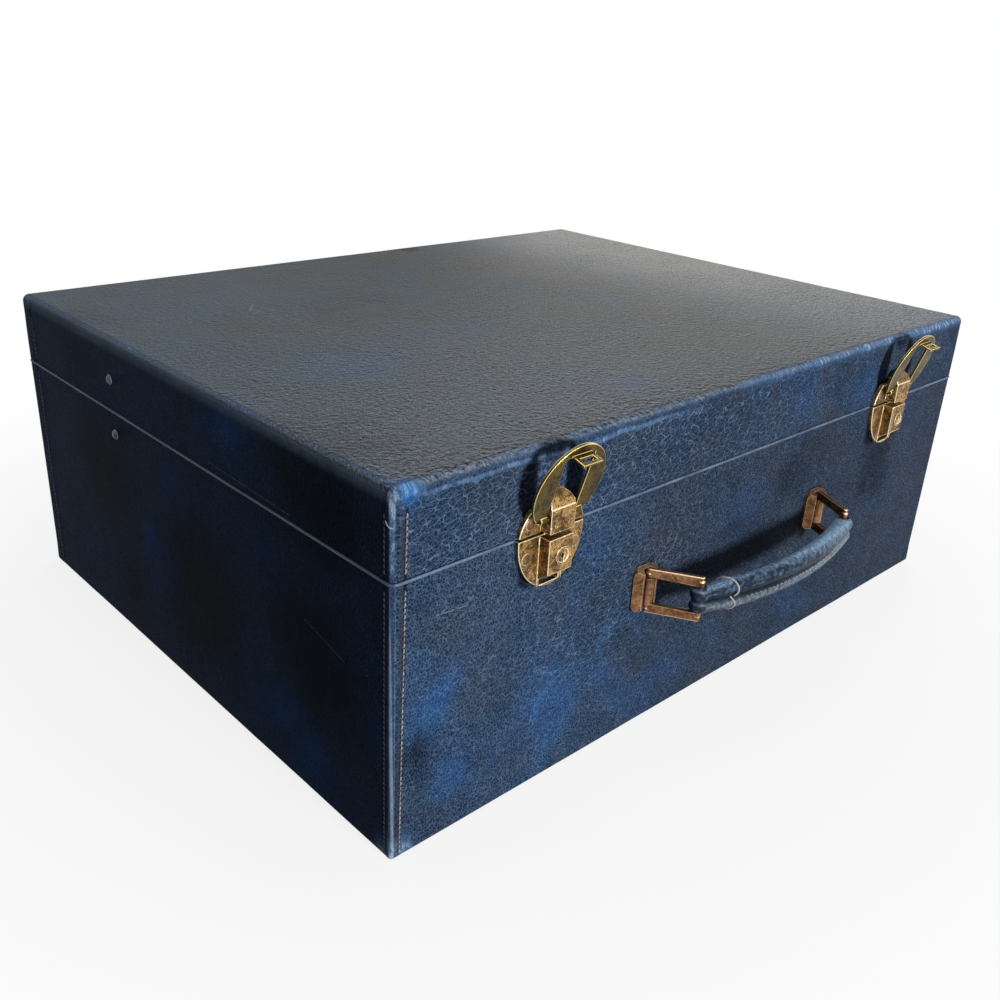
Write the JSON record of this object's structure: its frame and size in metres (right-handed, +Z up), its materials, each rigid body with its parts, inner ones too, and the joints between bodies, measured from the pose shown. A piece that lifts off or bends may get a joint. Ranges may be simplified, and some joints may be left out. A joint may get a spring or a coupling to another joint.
{
  "type": "hard travel case",
  "caption": "Rectangular leathercloth-covered hard case with a hinged lid, folding stays, ring-hasp locks thrown by a key and a bowed handle on swinging loops.",
  "frame": {"origin": "centre of the underside of the case", "axes": "+X to the right seen from the front, along the width; +Y from the front to the rear; +Z up, from the underside to the lid; the handle and locks are on -Y"},
  "size_m": [0.4732, 0.4148, 0.1839],
  "materials": {
    "leathercloth": "grained, worn, semi-matt",
    "leathercloth_underside": "grained, scuffed, matt",
    "leather_bead": "smooth, worn pale on its edge",
    "board": "plain",
    "lining_paper": "matt",
    "lock_brass": "tarnished, pitted, bright on its edges",
    "ring_brass": "dark tarnish, bright on its edges",
    "rivet_brass": "dull",
    "handle_copper": "coppery, worn, brown in its hollows",
    "hinge_brass": "tarnished",
    "steel": "dull nickel plate",
    "spring_steel": "blued",
    "grip_leather": "smooth, creased, shiny from use",
    "welt_leather": "frayed and pale at its stitched edge",
    "sleeve_leather": "cracked, dark",
    "thread": "waxed, frayed"
  },
  "bodies": {
    "base": {"base_walls": "board", "base_floor": "board", "base_side_cover": "leathercloth", "base_bottom_cover": "leathercloth_underside", "base_rim_bead": "leather_bead", "base_lip": "board", "base_lining": "lining_paper", "hinge_lower_leaves": "hinge_brass", "hinge_pins": "steel", "hinge_lower_rivets": "hinge_brass", "left_lock_plate": "lock_brass", "right_lock_plate": "lock_brass", "left_lock_case": "lock_brass", "right_lock_case": "lock_brass", "left_escutcheon": "lock_brass", "right_escutcheon": "lock_brass", "left_bolt_spring": "spring_steel", "right_bolt_spring": "spring_steel", "lock_plate_rivets": "rivet_brass", "left_handle_bracket": "handle_copper", "right_handle_bracket": "handle_copper", "handle_bracket_rivets": "steel", "handle_backing_plates": "steel", "stay_base_rivets": "steel", "stay_spacers": "steel"},
    "lid": {"lid_walls": "board", "lid_top_panel": "board", "lid_cover": "leathercloth", "lid_lining": "lining_paper", "hinge_upper_leaves": "hinge_brass", "hinge_upper_rivets": "hinge_brass", "left_hasp_plate": "lock_brass", "right_hasp_plate": "lock_brass", "left_hasp_housing": "lock_brass", "right_hasp_housing": "lock_brass", "left_hasp_pin": "steel", "right_hasp_pin": "steel", "hasp_cross_pins": "rivet_brass", "left_hasp_spring": "spring_steel", "right_hasp_spring": "spring_steel", "hasp_plate_rivets": "rivet_brass", "stay_lid_rivets": "steel", "stay_lid_spacers": "steel"},
    "left_ring": {"left_hasp_ring": "ring_brass"},
    "right_ring": {"right_hasp_ring": "ring_brass"},
    "left_bolt": {"left_lock_bolt": "steel"},
    "right_bolt": {"right_lock_bolt": "steel"},
    "left_loop": {"left_handle_loop": "handle_copper"},
    "right_loop": {"right_handle_loop": "handle_copper"},
    "grip": {"grip_tube": "grip_leather", "grip_welt": "welt_leather", "grip_left_sleeve": "sleeve_leather", "grip_right_sleeve": "sleeve_leather", "grip_threads": "thread"},
    "left_stay_lower": {"left_stay_lower_arm": "steel", "left_stay_knee_rivet": "steel"},
    "right_stay_lower": {"right_stay_lower_arm": "steel", "right_stay_knee_rivet": "steel"},
    "left_stay_upper": {"left_stay_upper_arm": "steel"},
    "right_stay_upper": {"right_stay_upper_arm": "steel"}
  },
  "joints": [
    {"name": "lid_hinge", "type": "hinge", "parent": "base", "child": "lid", "pos_m": [0, 0.1862, 0.13985], "axis": [-1, 0, 0], "range_deg": [0, 100]},
    {"name": "left_ring_hinge", "type": "hinge", "parent": "lid", "child": "left_ring", "pos_m": [-0.1492, -0.1888, 0.148], "axis": [-1, 0, 0], "range_deg": [-163, 12]},
    {"name": "right_ring_hinge", "type": "hinge", "parent": "lid", "child": "right_ring", "pos_m": [0.1492, -0.1888, 0.148], "axis": [-1, 0, 0], "range_deg": [-163, 12]},
    {"name": "left_bolt_slide", "type": "slide", "parent": "base", "child": "left_bolt", "axis": [0, 0, 1], "range_m": [-0.0026, 0]},
    {"name": "right_bolt_slide", "type": "slide", "parent": "base", "child": "right_bolt", "axis": [0, 0, 1], "range_m": [-0.0026, 0]},
    {"name": "left_loop_hinge", "type": "hinge", "parent": "base", "child": "left_loop", "pos_m": [-0.0772, -0.1872, 0.0853], "axis": [0, 0, 1], "range_deg": [-14, 14]},
    {"name": "right_loop_hinge", "type": "hinge", "parent": "base", "child": "right_loop", "pos_m": [0.0796, -0.1872, 0.0853], "axis": [0, 0, 1], "range_deg": [-13.5, 13.5]},
    {"name": "grip_hinge", "type": "hinge", "parent": "left_loop", "child": "grip", "pos_m": [-0.06402, -0.20914, 0.0853], "axis": [0, 0, 1], "range_deg": [-16.6, 16.6]},
    {"name": "left_stay_base_hinge", "type": "hinge", "parent": "base", "child": "left_stay_lower", "pos_m": [-0.22645, 0.0645, 0.1257], "axis": [-1, 0, 0], "range_deg": [0, 103]},
    {"name": "right_stay_base_hinge", "type": "hinge", "parent": "base", "child": "right_stay_lower", "pos_m": [0.22645, 0.0645, 0.1257], "axis": [-1, 0, 0], "range_deg": [0, 103]},
    {"name": "left_stay_knee_hinge", "type": "hinge", "parent": "left_stay_lower", "child": "left_stay_upper", "pos_m": [-0.22465, -0.05446, 0.14145], "axis": [1, 0, 0], "range_deg": [0, 104]},
    {"name": "right_stay_knee_hinge", "type": "hinge", "parent": "right_stay_lower", "child": "right_stay_upper", "pos_m": [0.22465, -0.05446, 0.14145], "axis": [1, 0, 0], "range_deg": [0, 104]}
  ],
  "couplings": [
    {"joint": "right_loop_hinge", "follows": "left_loop_hinge", "ratio": 0.945},
    {"joint": "grip_hinge", "follows": "left_loop_hinge", "ratio": -1.18},
    {"joint": "left_stay_base_hinge", "follows": "lid_hinge", "ratio": 1.025},
    {"joint": "right_stay_base_hinge", "follows": "lid_hinge", "ratio": 1.025},
    {"joint": "left_stay_knee_hinge", "follows": "lid_hinge", "ratio": 1.035},
    {"joint": "right_stay_knee_hinge", "follows": "lid_hinge", "ratio": 1.035}
  ]
}
